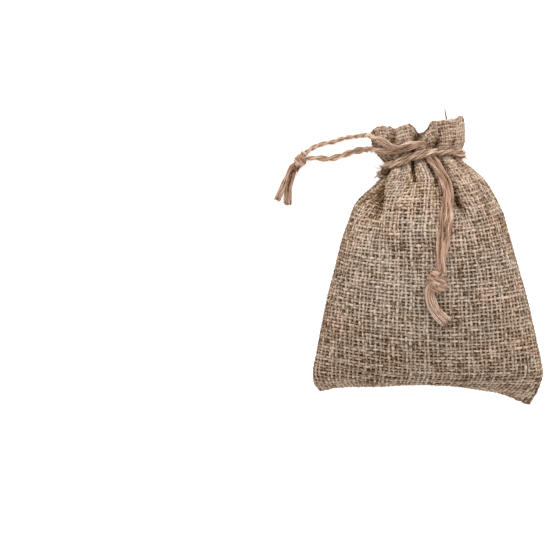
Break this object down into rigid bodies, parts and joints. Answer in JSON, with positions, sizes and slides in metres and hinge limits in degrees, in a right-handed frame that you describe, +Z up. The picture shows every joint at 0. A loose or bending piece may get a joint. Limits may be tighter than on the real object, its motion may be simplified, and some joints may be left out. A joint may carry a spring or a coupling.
{
  "type": "burlap sack",
  "caption": "Small burlap draw-cord sack, filled, its neck gathered and tied with doubled jute cord, lying on its back.",
  "frame": {"origin": "centre of the sack's bounding box in plan, on the surface that it lies on; the loose cords aren't counted", "axes": "+Y from the bottom fold towards the mouth, +X to the sack's right as seen from above, +Z up"},
  "size_m": [0.1209, 0.1282, 0.0404],
  "materials": {
    "burlap": "coarse plain-weave burlap, cream and brown yarns, matte",
    "jute_cord": "two-ply twisted jute cord, hairy, matte"
  },
  "bodies": {
    "root": {"sack": "burlap", "neck_band_upper": "jute_cord", "neck_band_lower": "jute_cord", "left_strand_a": "jute_cord", "left_strand_b": "jute_cord", "left_knot": "jute_cord", "left_end_a": "jute_cord", "left_end_b": "jute_cord", "front_strand_a": "jute_cord", "front_strand_b": "jute_cord", "front_knot": "jute_cord", "front_end": "jute_cord"}
  },
  "joints": []
}
